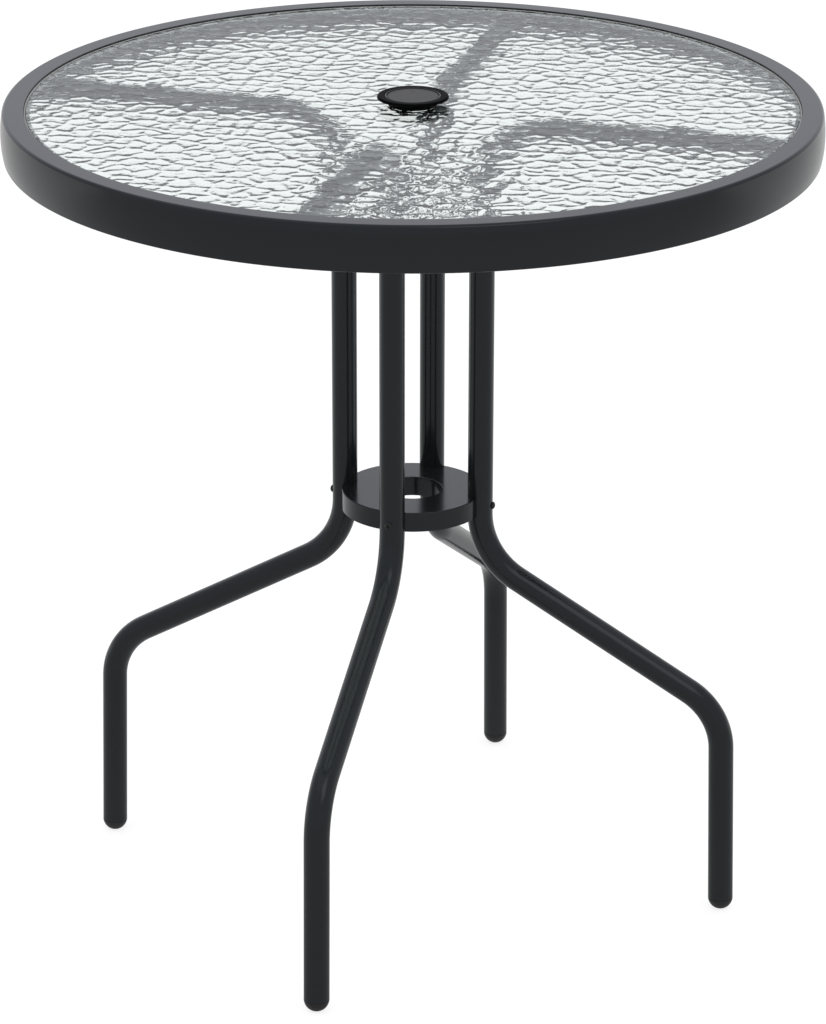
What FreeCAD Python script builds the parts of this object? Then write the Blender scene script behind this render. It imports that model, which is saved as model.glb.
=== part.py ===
import FreeCAD, Part
import math
import os

from FreeCAD import Placement, Rotation, Vector

# Round patio table: a rippled glass top in a rolled steel rim, four bent tube legs that meet at a hub
# ring, and an umbrella hole with a lift-out cap in the middle of the glass.
# Sizes are in millimetres and degrees. Z points up and the floor is z = 0, with the origin below the
# middle of the top. The legs stand along +X, +Y, -X and -Y.

# Whole table
TABLE_DIAMETER = 700.0  # across the corners of the band, above the bow of the skirt
TABLE_HEIGHT = 725.0

# Rim, one strip of steel rolled into a flat band, a skirt outside it and a ledge inside it
RIM_SHEET = 1.2
RIM_DEPTH = 39.6
RIM_BAND = 18.2  # width of the flat band, seen from above
RIM_CORNER = 3.0  # outside radius between band and skirt
RIM_BOW = 3.4  # where the two flanks of the skirt would meet, outside the corners
RIM_BOW_SHARE = 0.72  # share of the skirt that the curve between the flanks takes
RIM_EDGE_ROUND = 0.5
RIM_LEDGE = 11.0  # width of the shelf that carries the glass
RIM_HEM = 5.0  # inward turn at the bottom of the skirt

# Glass and its seal
GLASS_THICKNESS = 5.0
GLASS_RECESS = 1.8  # glass face below the band
GLASS_HOLE_DIAMETER = 39.0
GLASS_EDGE_CHAMFER = 0.6
SEAL_FLOOR = 1.2  # seal thickness under the glass
SEAL_WALL = 0.9  # seal thickness round the edge of the glass
SEAL_LIP_DROP = 0.4  # top of the seal below the glass face

# Legs, each bent from one tube
LEG_COUNT = 4
TUBE_DIAMETER = 22.2
TUBE_WALL = 1.2
UPRIGHT_RADIUS = 62.4  # table axis to the axis of an upright
ARM_BEND_RADIUS = 65.0
KNEE_HEIGHT = 315.8  # where the axes of upright and slope would meet
KNEE_BEND_RADIUS = 68.0
SLOPE_ANGLE = 29.4  # fall of the sloping run below the horizontal
FOOT_BEND_RADIUS = 60.0
FOOT_CIRCLE_RADIUS = 288.8  # table axis to the middle of a foot
FOOT_SPLAY = 1.4  # outward lean of the lowest run

# Domed foot caps
SOLE_FLAT_DEPTH = 0.5  # worn flat under the dome
FOOT_PLUG_LENGTH = 18.0
FOOT_PLUG_WALL = 2.2
FOOT_SEAM_CHAMFER = 0.5
PLUG_RIB_HEIGHT = 0.15
PLUG_RIB_COUNT = 3

# Plugs in the outer ends of the arms
ARM_PLUG_HEAD = 2.0
ARM_PLUG_LENGTH = 12.0
ARM_PLUG_WALL = 1.8
ARM_END_GAP = 2.6  # plug head to skirt

# Saddle brackets that join the arms to the rim
BRACKET_SHEET = 2.5
BRACKET_LENGTH = 30.0
BRACKET_CORNER = 3.0  # outside bend radius of the saddle
BRACKET_CHEEK_RISE = 5.0  # cheeks above the axis of the arm
BRACKET_WELD_GAP = 0.3  # weld line between saddle and skirt

# Bolts across the saddles
ARM_BOLT_DIAMETER = 6.0
ARM_BOLT_INSET = 15.0  # bolt axis from the outer end of the tube
ARM_BOLT_HEAD_ACROSS = 10.0
ARM_BOLT_HEAD_HEIGHT = 4.0
ARM_NUT_HEIGHT = 5.0
ARM_WASHER_DIAMETER = 12.0
ARM_WASHER_THICKNESS = 1.2
ARM_BOLT_TIP = 2.0  # bolt end beyond its nut

# Rubber pads between arms and glass
PAD_INSET = 109.0  # pad axis from the outer end of the tube
PAD_DIAMETER = 14.0
PAD_STEM_DIAMETER = 5.0
PAD_STEM_LENGTH = 6.0
PAD_BARB = 0.8  # stem end wider than its hole, on each side

# Hub ring, a hollow pressed ring with a notch for each upright
HUB_DIAMETER = 125.0
HUB_BORE_DIAMETER = 52.6
HUB_HEIGHT = 17.5
HUB_TOP_HEIGHT = 372.3
HUB_SHEET = 1.5
HUB_EDGE_ROUND = 1.0

# Screws through the uprights into the hub
HUB_SCREW_DIAMETER = 4.0
HUB_SCREW_HEAD_DIAMETER = 6.6
HUB_SCREW_HEAD_HEIGHT = 2.0
HUB_SCREW_SOCKET_ACROSS = 2.5
HUB_SCREW_SOCKET_DEPTH = 1.2
HUB_NUT_ACROSS = 7.0
HUB_NUT_HEIGHT = 4.0
HUB_SCREW_TIP = 1.5

# Umbrella ring, a flanged collar pushed into the hole of the glass
RING_LIP_DIAMETER = 61.6
RING_NECK_DIAMETER = 42.0
RING_HEIGHT = 8.4  # lip face above the glass
RING_LIP_THICKNESS = 4.4
RING_LIP_ROUND_ABOVE = 2.4
RING_LIP_ROUND_BELOW = 1.8
RING_BORE_DIAMETER = 34.2
RING_SLEEVE_DROP = 2.5  # sleeve below the glass
RING_SNAP_BEAD = 0.6  # bead under the glass that stops the collar lifting
RING_SNAP_BEAD_HEIGHT = 1.4
RING_ROUND = 0.8

# Umbrella cap
CAP_DISC_DIAMETER = 48.0
CAP_DISC_THICKNESS = 2.4
CAP_DISH_DEPTH = 0.6
CAP_DISH_RIM = 3.0  # raised edge round the dish
CAP_PLUG_LENGTH = 12.0
CAP_PLUG_WALL = 2.0
CAP_ROUND = 0.7

# Clearances
SLIP_GAP = 0.3  # pieces that slide or drop into each other
SEAT_GAP = 0.2  # pieces that rest on each other's curved faces
HOLE_GAP = 0.25  # shank to the wall of its hole
GLASS_HOLE_GAP = 0.6  # collar to glass

# Places worked out from the sizes above
RIM_RADIUS = TABLE_DIAMETER / 2
SKIRT_INSIDE = RIM_RADIUS - RIM_SHEET
RIM_BOTTOM = TABLE_HEIGHT - RIM_DEPTH
RIM_MIDDLE = TABLE_HEIGHT - RIM_DEPTH / 2
RIM_BOW_RADIUS = RIM_BOW_SHARE * (RIM_DEPTH / 2) ** 2 / RIM_BOW
STEP_RADIUS = RIM_RADIUS - RIM_BAND
LEDGE_RADIUS = STEP_RADIUS - RIM_LEDGE
GLASS_TOP = TABLE_HEIGHT - GLASS_RECESS
GLASS_BOTTOM = GLASS_TOP - GLASS_THICKNESS
SEAL_RADIUS = STEP_RADIUS - SLIP_GAP
GLASS_RADIUS = SEAL_RADIUS - SEAL_WALL - SLIP_GAP
LEDGE_TOP = GLASS_BOTTOM - SEAL_FLOOR
LEDGE_BOTTOM = LEDGE_TOP - RIM_SHEET

TUBE_RADIUS = TUBE_DIAMETER / 2
TUBE_BORE = TUBE_RADIUS - TUBE_WALL
PLUG_RADIUS = TUBE_BORE - SLIP_GAP
ARM_HEIGHT = LEDGE_BOTTOM - SEAT_GAP - TUBE_RADIUS
ARM_END = SKIRT_INSIDE - ARM_END_GAP - ARM_PLUG_HEAD
ARM_BOLT_RADIUS = ARM_END - ARM_BOLT_INSET
PAD_CIRCLE_RADIUS = ARM_END - PAD_INSET
SOLE_CENTRE = TUBE_RADIUS - SOLE_FLAT_DEPTH

SADDLE_HALF = TUBE_RADIUS + SLIP_GAP + BRACKET_SHEET
HUB_RADIUS = HUB_DIAMETER / 2
HUB_BORE = HUB_BORE_DIAMETER / 2
HUB_BOTTOM = HUB_TOP_HEIGHT - HUB_HEIGHT
HUB_MIDDLE = HUB_TOP_HEIGHT - HUB_HEIGHT / 2
NOTCH_RADIUS = TUBE_RADIUS + SEAT_GAP

RING_BORE = RING_BORE_DIAMETER / 2
RING_SLEEVE = GLASS_HOLE_DIAMETER / 2 - GLASS_HOLE_GAP
RING_TOP = GLASS_TOP + RING_HEIGHT
CAP_SEAT = RING_TOP - CAP_DISC_THICKNESS
CAP_RADIUS = CAP_DISC_DIAMETER / 2

Z_AXIS = Vector(0, 0, 1)
ORIGIN = Vector(0, 0, 0)
LEG_NAMES = ("right", "back", "left", "front")


def rounded_edges(corners, closed):
    """Lines through (x, z, radius) corners in the XZ plane, with each corner rounded by its own radius."""
    stations = []
    for index, (x, z, radius) in enumerate(corners):
        corner = Vector(x, 0, z)
        at_end = not closed and index in (0, len(corners) - 1)
        if radius == 0 or at_end:
            stations.append((corner, None, corner))
            continue
        before = corners[index - 1]
        after = corners[(index + 1) % len(corners)]
        back = (Vector(before[0], 0, before[1]) - corner).normalize()
        ahead = (Vector(after[0], 0, after[1]) - corner).normalize()
        half_angle = back.getAngle(ahead) / 2
        inward = (back + ahead).normalize()
        reach = radius / math.tan(half_angle)
        crown = corner + inward * (radius / math.sin(half_angle) - radius)
        stations.append((corner + back * reach, crown, corner + ahead * reach))

    edges = []
    for index, (start, crown, end) in enumerate(stations):
        if crown is not None:
            edges.append(Part.Arc(start, crown, end).toShape())
        is_last = index == len(stations) - 1
        if closed or not is_last:
            following = stations[(index + 1) % len(stations)][0]
            if end.distanceToPoint(following) > 1e-6:
                edges.append(Part.makeLine(end, following))
    return edges


def turned(corners):
    """Solid turned about Z from a closed (x, z, radius) outline."""
    outline = Part.Wire(rounded_edges(corners, closed=True))
    return Part.Face(outline).revolve(ORIGIN, Z_AXIS, 360)


def plain(points):
    """Corners without rounding."""
    return [(x, z, 0) for x, z in points]


def cylinder(radius, start, direction, length):
    """Round bar from a start point along a direction."""
    return Part.makeCylinder(radius, length, start, direction)


def hexagon_bar(across_flats, start, direction, length):
    """Hexagonal bar from a start point along a direction."""
    corner = Vector(across_flats / math.sqrt(3), 0, 0)
    corners = [Rotation(Z_AXIS, 60 * k).multVec(corner) for k in range(6)]
    bar = Part.Face(Part.makePolygon(corners + corners[:1])).extrude(Vector(0, 0, length))
    bar.Placement = Placement(start, Rotation(Z_AXIS, direction))
    return bar


def laid(shape, start, direction):
    """Shape made along Z, laid from a start point along a direction."""
    shape.Placement = Placement(start, Rotation(Z_AXIS, direction))
    return shape


def at_leg(shape, index):
    """Copy of a shape modelled on +X, turned to its leg."""
    copy = shape.copy()
    copy.rotate(ORIGIN, Z_AXIS, 360 / LEG_COUNT * index)
    return copy


def at_all_legs(shape):
    """One separate solid per leg, kept together as a group."""
    return Part.makeCompound([at_leg(shape, index) for index in range(LEG_COUNT)])


def rim():
    """Rolled rim: hem, bowed skirt, rounded corner, flat band, step and ledge in one sheet."""
    inner_corner = max(RIM_CORNER - RIM_SHEET, 0.2)
    bend = RIM_SHEET + RIM_EDGE_ROUND
    return turned([
        (RIM_RADIUS, RIM_BOTTOM, bend),
        (RIM_RADIUS + RIM_BOW, RIM_MIDDLE, RIM_BOW_RADIUS),
        (RIM_RADIUS, TABLE_HEIGHT, RIM_CORNER),
        (STEP_RADIUS, TABLE_HEIGHT, RIM_EDGE_ROUND),
        (STEP_RADIUS, LEDGE_TOP, RIM_EDGE_ROUND),
        (LEDGE_RADIUS, LEDGE_TOP, 0),
        (LEDGE_RADIUS, LEDGE_BOTTOM, 0),
        (STEP_RADIUS + RIM_SHEET, LEDGE_BOTTOM, bend),
        (STEP_RADIUS + RIM_SHEET, TABLE_HEIGHT - RIM_SHEET, 0),
        (SKIRT_INSIDE, TABLE_HEIGHT - RIM_SHEET, inner_corner),
        (SKIRT_INSIDE + RIM_BOW, RIM_MIDDLE, RIM_BOW_RADIUS - RIM_SHEET),
        (SKIRT_INSIDE, RIM_BOTTOM + RIM_SHEET, RIM_EDGE_ROUND),
        (RIM_RADIUS - RIM_HEM, RIM_BOTTOM + RIM_SHEET, 0),
        (RIM_RADIUS - RIM_HEM, RIM_BOTTOM, 0),
    ])


def space_inside_skirt(gap):
    """Solid that fills the skirt, up to a gap from its inner face."""
    radius = SKIRT_INSIDE - gap
    return turned([
        (0, RIM_BOTTOM, 0),
        (radius, RIM_BOTTOM, 0),
        (radius + RIM_BOW, RIM_MIDDLE, RIM_BOW_RADIUS - RIM_SHEET - gap),
        (radius, TABLE_HEIGHT, 0),
        (0, TABLE_HEIGHT, 0),
    ])


def glass_seal():
    """Angle-shaped seal: a floor on the ledge and a wall round the edge of the glass."""
    return turned([
        (LEDGE_RADIUS, LEDGE_TOP, 0),
        (SEAL_RADIUS, LEDGE_TOP, RIM_EDGE_ROUND + SLIP_GAP),
        (SEAL_RADIUS, GLASS_TOP - SEAL_LIP_DROP, 0),
        (SEAL_RADIUS - SEAL_WALL, GLASS_TOP - SEAL_LIP_DROP, 0),
        (SEAL_RADIUS - SEAL_WALL, GLASS_BOTTOM, 0),
        (LEDGE_RADIUS, GLASS_BOTTOM, 0),
    ])


def glass_top():
    """Tempered glass disc with ground edges and the umbrella hole."""
    hole = GLASS_HOLE_DIAMETER / 2
    chamfer = GLASS_EDGE_CHAMFER
    return turned(plain([
        (hole + chamfer, GLASS_BOTTOM),
        (GLASS_RADIUS - chamfer, GLASS_BOTTOM),
        (GLASS_RADIUS, GLASS_BOTTOM + chamfer),
        (GLASS_RADIUS, GLASS_TOP - chamfer),
        (GLASS_RADIUS - chamfer, GLASS_TOP),
        (hole + chamfer, GLASS_TOP),
        (hole, GLASS_TOP - chamfer),
        (hole, GLASS_BOTTOM + chamfer),
    ]))


def leg_path():
    """Axis of a leg on +X: arm, upright, slope and foot run, joined by bends."""
    fall = math.tan(math.radians(SLOPE_ANGLE))
    lean = math.tan(math.radians(FOOT_SPLAY))
    # The slope x = UPRIGHT_RADIUS + s, z = KNEE_HEIGHT - fall * s meets the leaning foot run.
    run = (FOOT_CIRCLE_RADIUS - UPRIGHT_RADIUS - lean * (KNEE_HEIGHT - SOLE_CENTRE)) / (1 - lean * fall)
    return [
        (ARM_END, ARM_HEIGHT, 0),
        (UPRIGHT_RADIUS, ARM_HEIGHT, ARM_BEND_RADIUS),
        (UPRIGHT_RADIUS, KNEE_HEIGHT, KNEE_BEND_RADIUS),
        (UPRIGHT_RADIUS + run, KNEE_HEIGHT - fall * run, FOOT_BEND_RADIUS),
        (FOOT_CIRCLE_RADIUS, SOLE_CENTRE, 0),
    ]


def swept_rod(corners, radius):
    """Round rod swept along rounded corners."""
    path = Part.Wire(rounded_edges(corners, closed=False))
    first, second = corners[0], corners[1]
    direction = Vector(second[0] - first[0], 0, second[1] - first[1])
    profile = Part.Wire(Part.makeCircle(radius, Vector(first[0], 0, first[1]), direction))
    return path.makePipeShell([profile], True, False)


def leg():
    """Bent tube with its screw, bolt and pad holes."""
    path = leg_path()
    tube = swept_rod(path, TUBE_RADIUS).cut(swept_rod(path, TUBE_BORE))
    clear = TUBE_DIAMETER * 2
    screw_hole = cylinder(
        HUB_SCREW_DIAMETER / 2 + HOLE_GAP, Vector(UPRIGHT_RADIUS - TUBE_DIAMETER, 0, HUB_MIDDLE),
        Vector(1, 0, 0), clear,
    )
    bolt_hole = cylinder(
        ARM_BOLT_DIAMETER / 2 + HOLE_GAP, Vector(ARM_BOLT_RADIUS, -TUBE_DIAMETER, ARM_HEIGHT),
        Vector(0, 1, 0), clear,
    )
    pad_hole = cylinder(
        PAD_STEM_DIAMETER / 2 + HOLE_GAP, Vector(PAD_CIRCLE_RADIUS, 0, ARM_HEIGHT), Z_AXIS, TUBE_DIAMETER
    )
    return tube.cut([screw_hole, bolt_hole, pad_hole])


def plug_ribs(start, length):
    """Thin rings round a plug that grip the bore of its tube."""
    pitch = length / (PLUG_RIB_COUNT + 1)
    ribs = []
    for k in range(PLUG_RIB_COUNT):
        middle = start + pitch * (k + 1)
        ribs.append(turned(plain([
            (PLUG_RADIUS - 1, middle - pitch / 4),
            (PLUG_RADIUS, middle - pitch / 4),
            (PLUG_RADIUS + PLUG_RIB_HEIGHT, middle),
            (PLUG_RADIUS, middle + pitch / 4),
            (PLUG_RADIUS - 1, middle + pitch / 4),
        ])))
    return ribs


def foot_cap():
    """Domed foot with a ribbed plug up the tube and a small flat to stand on."""
    dome = Part.makeSphere(TUBE_RADIUS)
    band = turned(plain([
        (0, 0), (TUBE_RADIUS, 0), (TUBE_RADIUS, -FOOT_SEAM_CHAMFER * 2), (0, -FOOT_SEAM_CHAMFER * 2),
    ]))
    seam = turned(plain([
        (TUBE_RADIUS - FOOT_SEAM_CHAMFER, 0), (TUBE_RADIUS + 1, 0), (TUBE_RADIUS + 1, -FOOT_SEAM_CHAMFER - 1),
    ]))
    upper_half = cylinder(TUBE_DIAMETER, ORIGIN, Z_AXIS, TUBE_DIAMETER)
    lower = dome.cut(upper_half).fuse(band).common(dome).cut(seam)
    plug = turned(plain([
        (PLUG_RADIUS - FOOT_PLUG_WALL, -1),
        (PLUG_RADIUS, -1),
        (PLUG_RADIUS, FOOT_PLUG_LENGTH - 1),
        (PLUG_RADIUS - 1, FOOT_PLUG_LENGTH),
        (PLUG_RADIUS - FOOT_PLUG_WALL, FOOT_PLUG_LENGTH),
    ]))
    cap = lower.fuse([plug] + plug_ribs(0, FOOT_PLUG_LENGTH)).removeSplitter()
    cap.Placement = Placement(
        Vector(FOOT_CIRCLE_RADIUS, 0, SOLE_CENTRE), Rotation(Vector(0, 1, 0), -FOOT_SPLAY)
    )
    below_floor = Part.makeBox(
        4 * TUBE_RADIUS, 4 * TUBE_RADIUS, TUBE_RADIUS,
        Vector(FOOT_CIRCLE_RADIUS - 2 * TUBE_RADIUS, -2 * TUBE_RADIUS, -TUBE_RADIUS),
    )
    return cap.cut(below_floor)


def arm_plug():
    """Flat-headed plug in the outer end of an arm, notched round the bolt."""
    body = turned([
        (0, ARM_PLUG_HEAD, 0),
        (TUBE_RADIUS, ARM_PLUG_HEAD, RIM_EDGE_ROUND),
        (TUBE_RADIUS, 0, 0),
        (PLUG_RADIUS, 0, 0),
        (PLUG_RADIUS, -ARM_PLUG_LENGTH, RIM_EDGE_ROUND),
        (PLUG_RADIUS - ARM_PLUG_WALL, -ARM_PLUG_LENGTH, 0),
        (PLUG_RADIUS - ARM_PLUG_WALL, 0, 0),
        (0, 0, 0),
    ])
    plug = body.fuse(plug_ribs(-ARM_PLUG_LENGTH, ARM_PLUG_LENGTH)).removeSplitter()
    plug = laid(plug, Vector(ARM_END, 0, ARM_HEIGHT), Vector(1, 0, 0))
    relief = cylinder(
        ARM_BOLT_DIAMETER / 2 + 2 * HOLE_GAP, Vector(ARM_BOLT_RADIUS, -TUBE_DIAMETER, ARM_HEIGHT),
        Vector(0, 1, 0), 2 * TUBE_DIAMETER,
    )
    return plug.cut(relief)


def rim_bracket():
    """U-shaped saddle welded inside the skirt, with the arm lying in it."""
    inner = TUBE_RADIUS + SLIP_GAP
    floor_z = ARM_HEIGHT - SADDLE_HALF
    cheek_z = ARM_HEIGHT + BRACKET_CHEEK_RISE
    section = Part.Wire(rounded_edges([
        (-SADDLE_HALF, cheek_z, 0),
        (-SADDLE_HALF, floor_z, BRACKET_CORNER),
        (SADDLE_HALF, floor_z, BRACKET_CORNER),
        (SADDLE_HALF, cheek_z, 0),
        (inner, cheek_z, 0),
        (inner, floor_z + BRACKET_SHEET, max(BRACKET_CORNER - BRACKET_SHEET, 0.3)),
        (-inner, floor_z + BRACKET_SHEET, max(BRACKET_CORNER - BRACKET_SHEET, 0.3)),
        (-inner, cheek_z, 0),
    ], closed=True))
    saddle = Part.Face(section).extrude(Vector(0, BRACKET_LENGTH + RIM_BOW, 0))
    saddle.rotate(ORIGIN, Z_AXIS, -90)
    saddle.translate(Vector(SKIRT_INSIDE - BRACKET_LENGTH, 0, 0))
    bolt_hole = cylinder(
        ARM_BOLT_DIAMETER / 2 + HOLE_GAP, Vector(ARM_BOLT_RADIUS, -2 * SADDLE_HALF, ARM_HEIGHT),
        Vector(0, 1, 0), 4 * SADDLE_HALF,
    )
    return saddle.common(space_inside_skirt(BRACKET_WELD_GAP)).cut(bolt_hole)


def arm_bolt():
    """Hexagon bolt across a saddle, from one cheek to beyond the nut on the other."""
    seat = SADDLE_HALF + ARM_WASHER_THICKNESS
    reach = 2 * seat + ARM_NUT_HEIGHT + ARM_BOLT_TIP
    head = hexagon_bar(
        ARM_BOLT_HEAD_ACROSS, Vector(ARM_BOLT_RADIUS, -seat, ARM_HEIGHT),
        Vector(0, -1, 0), ARM_BOLT_HEAD_HEIGHT,
    )
    shank = turned(plain([
        (0, 0), (ARM_BOLT_DIAMETER / 2, 0), (ARM_BOLT_DIAMETER / 2, reach - 0.8),
        (ARM_BOLT_DIAMETER / 2 - 0.8, reach), (0, reach),
    ]))
    shank = laid(shank, Vector(ARM_BOLT_RADIUS, -seat, ARM_HEIGHT), Vector(0, 1, 0))
    return head.fuse(shank).removeSplitter()


def arm_washers():
    """Washer on each cheek of a saddle."""
    hole = ARM_BOLT_DIAMETER / 2 + HOLE_GAP
    washer = turned(plain([
        (hole, 0),
        (ARM_WASHER_DIAMETER / 2, 0),
        (ARM_WASHER_DIAMETER / 2, ARM_WASHER_THICKNESS),
        (hole, ARM_WASHER_THICKNESS),
    ]))
    return [
        laid(washer.copy(), Vector(ARM_BOLT_RADIUS, side * SADDLE_HALF, ARM_HEIGHT), Vector(0, side, 0))
        for side in (-1, 1)
    ]


def arm_nut():
    """Hexagon nut on the far washer of a saddle."""
    start = Vector(ARM_BOLT_RADIUS, SADDLE_HALF + ARM_WASHER_THICKNESS, ARM_HEIGHT)
    along = Vector(0, 1, 0)
    nut = hexagon_bar(ARM_BOLT_HEAD_ACROSS, start, along, ARM_NUT_HEIGHT)
    return nut.cut(cylinder(ARM_BOLT_DIAMETER / 2 + HOLE_GAP / 5, start, along, ARM_NUT_HEIGHT))


def glass_pad():
    """Rubber button on an arm, saddled to the tube below and flat to the glass above."""
    button = turned([
        (0, ARM_HEIGHT, 0),
        (PAD_DIAMETER / 2, ARM_HEIGHT, 0),
        (PAD_DIAMETER / 2, GLASS_BOTTOM, RIM_EDGE_ROUND),
        (0, GLASS_BOTTOM, 0),
    ])
    button.translate(Vector(PAD_CIRCLE_RADIUS, 0, 0))
    tube_space = cylinder(
        TUBE_RADIUS + SEAT_GAP / 2, Vector(PAD_CIRCLE_RADIUS - PAD_DIAMETER, 0, ARM_HEIGHT), Vector(1, 0, 0),
        2 * PAD_DIAMETER,
    )
    crown = ARM_HEIGHT + TUBE_RADIUS
    barb_top = crown - TUBE_WALL - HOLE_GAP
    stem = turned(plain([
        (0, crown - PAD_STEM_LENGTH),
        (PAD_STEM_DIAMETER / 2 - PAD_BARB, crown - PAD_STEM_LENGTH),
        (PAD_STEM_DIAMETER / 2 + PAD_BARB, barb_top - 1),
        (PAD_STEM_DIAMETER / 2, barb_top),
        (PAD_STEM_DIAMETER / 2, crown + 1),
        (0, crown + 1),
    ]))
    stem.translate(Vector(PAD_CIRCLE_RADIUS, 0, 0))
    return button.cut(tube_space).fuse(stem).removeSplitter()


def uprights_space(radius):
    """Round bars along the uprights, used to cut the notches of the hub."""
    return [
        at_leg(cylinder(radius, Vector(UPRIGHT_RADIUS, 0, HUB_BOTTOM - 1), Z_AXIS, HUB_HEIGHT + 2), index)
        for index in range(LEG_COUNT)
    ]


def hub_ring():
    """Pressed hub ring: top plate, outer and inner wall and notched sides, open below."""
    block = turned([
        (HUB_BORE, HUB_BOTTOM, 0),
        (HUB_RADIUS, HUB_BOTTOM, 0),
        (HUB_RADIUS, HUB_TOP_HEIGHT, HUB_EDGE_ROUND),
        (HUB_BORE, HUB_TOP_HEIGHT, HUB_EDGE_ROUND),
    ]).cut(uprights_space(NOTCH_RADIUS))
    cavity = turned(plain([
        (HUB_BORE + HUB_SHEET, HUB_BOTTOM - 1),
        (HUB_RADIUS - HUB_SHEET, HUB_BOTTOM - 1),
        (HUB_RADIUS - HUB_SHEET, HUB_TOP_HEIGHT - HUB_SHEET),
        (HUB_BORE + HUB_SHEET, HUB_TOP_HEIGHT - HUB_SHEET),
    ])).cut(uprights_space(NOTCH_RADIUS + HUB_SHEET))
    screw_hole = cylinder(
        HUB_SCREW_DIAMETER / 2 + HOLE_GAP, Vector(HUB_BORE + 2 * HUB_SHEET, 0, HUB_MIDDLE),
        Vector(1, 0, 0), HUB_RADIUS,
    )
    holes = [at_leg(screw_hole, index) for index in range(LEG_COUNT)]
    return block.cut([cavity] + holes)


def hub_base_plate():
    """Flat plate that closes the hub ring from below."""
    plate = turned(plain([
        (HUB_BORE + HUB_SHEET + SLIP_GAP, HUB_BOTTOM),
        (HUB_RADIUS - HUB_SHEET - SLIP_GAP, HUB_BOTTOM),
        (HUB_RADIUS - HUB_SHEET - SLIP_GAP, HUB_BOTTOM + HUB_SHEET),
        (HUB_BORE + HUB_SHEET + SLIP_GAP, HUB_BOTTOM + HUB_SHEET),
    ]))
    return plate.cut(uprights_space(NOTCH_RADIUS + HUB_SHEET + SLIP_GAP))


def hub_nut_face():
    """Radius of the outer face of a hub nut, against the inside of a notch."""
    return UPRIGHT_RADIUS - NOTCH_RADIUS - HUB_SHEET - SEAT_GAP


def hub_screw():
    """Button-head screw from outside an upright, through both walls and the notch into its nut."""
    seat = UPRIGHT_RADIUS + TUBE_RADIUS + SEAT_GAP
    reach = seat - hub_nut_face() + HUB_NUT_HEIGHT + HUB_SCREW_TIP
    rim_foot = Vector(HUB_SCREW_HEAD_DIAMETER / 2, 0, 0)
    shoulder = Vector(rim_foot.x, 0, HUB_SCREW_HEAD_HEIGHT * 0.35)
    flank = Vector(HUB_SCREW_HEAD_DIAMETER * 0.3, 0, HUB_SCREW_HEAD_HEIGHT * 0.82)
    crown = Vector(0, 0, HUB_SCREW_HEAD_HEIGHT)
    head_outline = Part.Wire([
        Part.makeLine(ORIGIN, rim_foot),
        Part.makeLine(rim_foot, shoulder),
        Part.Arc(shoulder, flank, crown).toShape(),
        Part.makeLine(crown, ORIGIN),
    ])
    head = Part.Face(head_outline).revolve(ORIGIN, Z_AXIS, 360)
    socket_floor = Vector(0, 0, HUB_SCREW_HEAD_HEIGHT - HUB_SCREW_SOCKET_DEPTH)
    socket = hexagon_bar(HUB_SCREW_SOCKET_ACROSS, socket_floor, Z_AXIS, HUB_SCREW_HEAD_HEIGHT)
    shank = cylinder(HUB_SCREW_DIAMETER / 2, Vector(0, 0, -reach), Z_AXIS, reach)
    screw = head.fuse(shank).removeSplitter().cut(socket)
    return laid(screw, Vector(seat, 0, HUB_MIDDLE), Vector(1, 0, 0))


def hub_nut():
    """Weld nut behind the notch, inside the hub."""
    start = Vector(hub_nut_face(), 0, HUB_MIDDLE)
    inward = Vector(-1, 0, 0)
    nut = hexagon_bar(HUB_NUT_ACROSS, start, inward, HUB_NUT_HEIGHT)
    return nut.cut(cylinder(HUB_SCREW_DIAMETER / 2 + HOLE_GAP / 5, start, inward, HUB_NUT_HEIGHT))


def umbrella_ring():
    """Collar on the glass: a wide rounded lip on a neck, a recess for the cap and a sleeve down the hole."""
    lip = RING_LIP_DIAMETER / 2
    lip_bottom = RING_TOP - RING_LIP_THICKNESS
    neck = RING_NECK_DIAMETER / 2
    recess = CAP_RADIUS + SLIP_GAP
    sleeve_bottom = GLASS_BOTTOM - RING_SLEEVE_DROP
    bead = RING_SLEEVE + GLASS_HOLE_GAP + RING_SNAP_BEAD
    bead_top = GLASS_BOTTOM - SEAT_GAP
    return turned([
        (RING_BORE, sleeve_bottom, 0),
        (RING_SLEEVE, sleeve_bottom, RING_ROUND),
        (RING_SLEEVE, bead_top - RING_SNAP_BEAD_HEIGHT, 0),
        (bead, bead_top - RING_SNAP_BEAD, 0),
        (bead, bead_top, 0),
        (RING_SLEEVE, bead_top, 0),
        (RING_SLEEVE, GLASS_TOP, 0),
        (neck, GLASS_TOP, 0),
        (neck, lip_bottom, RING_ROUND),
        (lip, lip_bottom, RING_LIP_ROUND_BELOW),
        (lip, RING_TOP, RING_LIP_ROUND_ABOVE),
        (recess, RING_TOP, RING_ROUND / 2),
        (recess, CAP_SEAT - SEAT_GAP, 0),
        (RING_BORE, CAP_SEAT - SEAT_GAP, RING_ROUND),
    ])


def umbrella_cap():
    """Dished disc in the recess of the collar, with a hollow plug down its bore."""
    plug = RING_BORE - SLIP_GAP
    plug_bottom = CAP_SEAT - CAP_PLUG_LENGTH
    dish = CAP_RADIUS - CAP_DISH_RIM
    return turned([
        (0, CAP_SEAT, 0),
        (plug - CAP_PLUG_WALL, CAP_SEAT, 0),
        (plug - CAP_PLUG_WALL, plug_bottom, 0),
        (plug, plug_bottom, CAP_ROUND),
        (plug, CAP_SEAT, 0),
        (CAP_RADIUS, CAP_SEAT, 0),
        (CAP_RADIUS, RING_TOP, CAP_ROUND),
        (dish, RING_TOP, CAP_ROUND),
        (dish - CAP_DISH_DEPTH, RING_TOP - CAP_DISH_DEPTH, CAP_ROUND),
        (0, RING_TOP - CAP_DISH_DEPTH, 0),
    ])


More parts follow.
